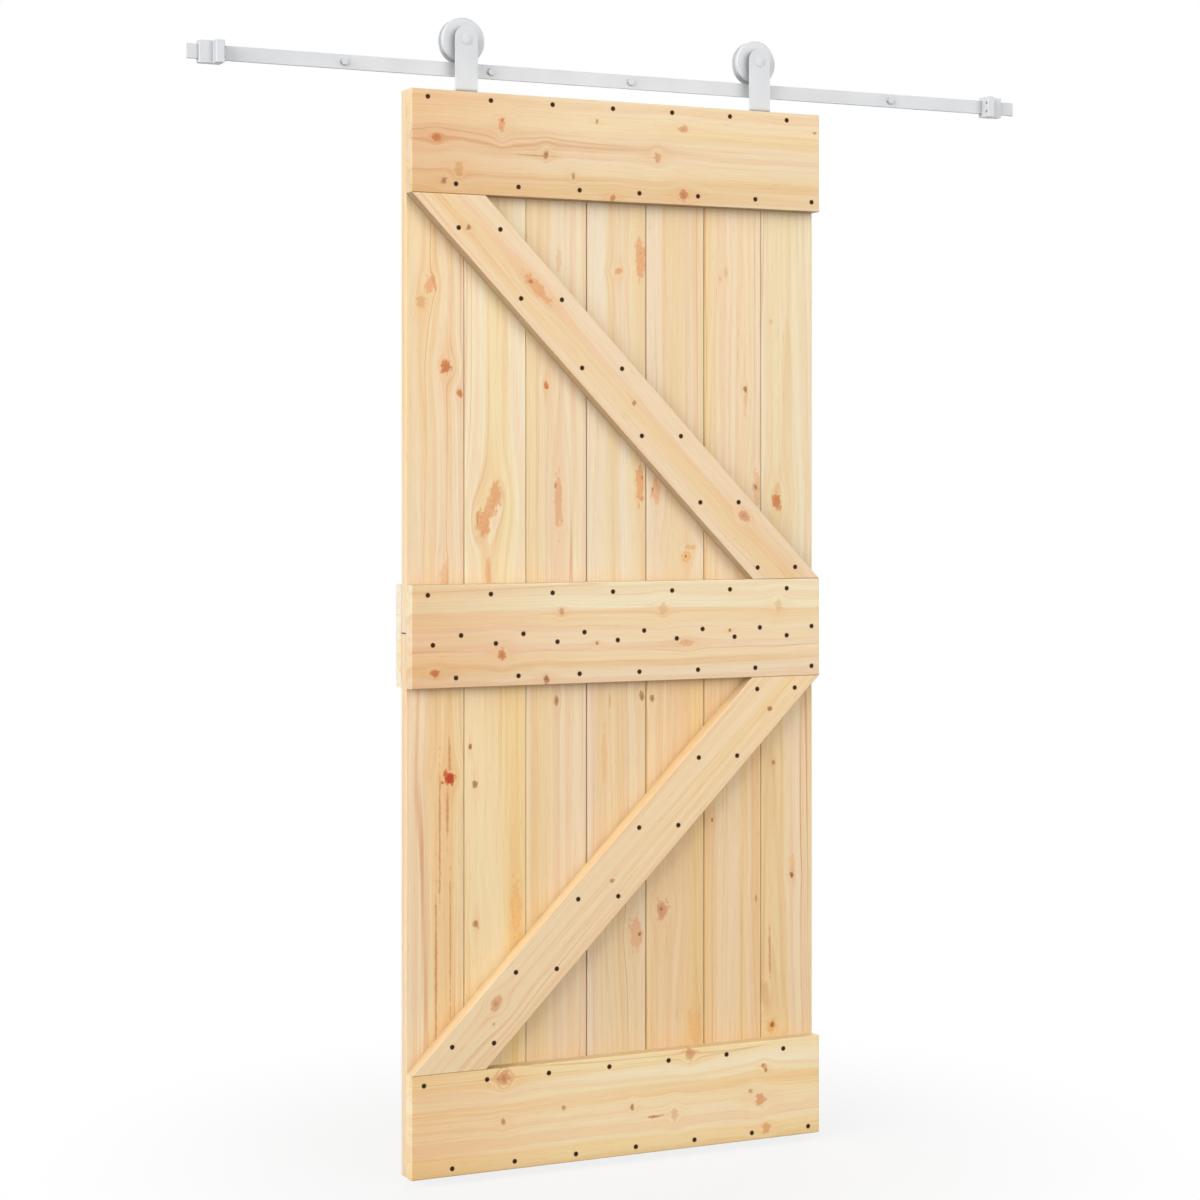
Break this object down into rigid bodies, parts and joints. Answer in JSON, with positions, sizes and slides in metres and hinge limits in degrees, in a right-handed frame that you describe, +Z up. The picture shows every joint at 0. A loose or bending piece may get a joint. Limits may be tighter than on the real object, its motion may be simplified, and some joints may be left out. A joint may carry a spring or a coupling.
{
  "type": "sliding door",
  "caption": "Ledged and braced pine sliding door of tongue-and-groove boards, hung by strap hangers on grooved wheels that roll along a flat wall track with end stops.",
  "frame": {"origin": "centre of the middle wall spacer's back face, on the wall's plane, at the track's mid-height and mid-length", "axes": "+X along the track to the right as seen from the room, +Y into the wall, +Z up"},
  "size_m": [1.84, 0.122, 2.2505],
  "materials": {
    "pine_boards": "satin",
    "pine_rails": "satin",
    "painted_steel": "satin",
    "painted_fasteners": "satin"
  },
  "bodies": {
    "track": {"lag_bolt_1": "painted_fasteners", "lag_bolt_2": "painted_fasteners", "lag_bolt_3": "painted_fasteners", "lag_bolt_4": "painted_fasteners", "lag_bolt_5": "painted_fasteners", "left_end_stop": "painted_steel", "right_end_stop": "painted_steel", "track_bar": "painted_steel", "wall_spacer_1": "painted_steel", "wall_spacer_2": "painted_steel", "wall_spacer_3": "painted_steel", "wall_spacer_4": "painted_steel", "wall_spacer_5": "painted_steel"},
    "door": {"back_middle_rail": "pine_rails", "bottom_rail": "pine_rails", "left_axle_bolt": "painted_fasteners", "left_axle_collar": "painted_steel", "left_axle_nut": "painted_fasteners", "left_hanger_strap": "painted_steel", "lower_board_1": "pine_boards", "lower_board_2": "pine_boards", "lower_board_3": "pine_boards", "lower_board_4": "pine_boards", "lower_board_5": "pine_boards", "lower_board_6": "pine_boards", "lower_board_7": "pine_boards", "lower_brace": "pine_rails", "middle_rail": "pine_rails", "right_axle_bolt": "painted_fasteners", "right_axle_collar": "painted_steel", "right_axle_nut": "painted_fasteners", "right_hanger_strap": "painted_steel", "top_rail": "pine_rails", "upper_board_1": "pine_boards", "upper_board_2": "pine_boards", "upper_board_3": "pine_boards", "upper_board_4": "pine_boards", "upper_board_5": "pine_boards", "upper_board_6": "pine_boards", "upper_board_7": "pine_boards", "upper_brace": "pine_rails"},
    "left_wheel": {"left_wheel": "painted_steel"},
    "right_wheel": {"right_wheel": "painted_steel"}
  },
  "joints": [
    {"name": "door_slide", "type": "slide", "parent": "track", "child": "door", "axis": [1, 0, 0], "range_m": [-0.454, 0.524]},
    {"name": "left_wheel_spin", "type": "hinge", "parent": "door", "child": "left_wheel", "pos_m": [-0.367, -0.043, 0.0565], "axis": [0, 1, 0], "continuous": true},
    {"name": "right_wheel_spin", "type": "hinge", "parent": "door", "child": "right_wheel", "pos_m": [0.283, -0.043, 0.0565], "axis": [0, 1, 0], "continuous": true}
  ],
  "couplings": [
    {"joint": "left_wheel_spin", "follows": "door_slide", "rad_per_m": 23.697},
    {"joint": "right_wheel_spin", "follows": "door_slide", "rad_per_m": 23.697}
  ]
}
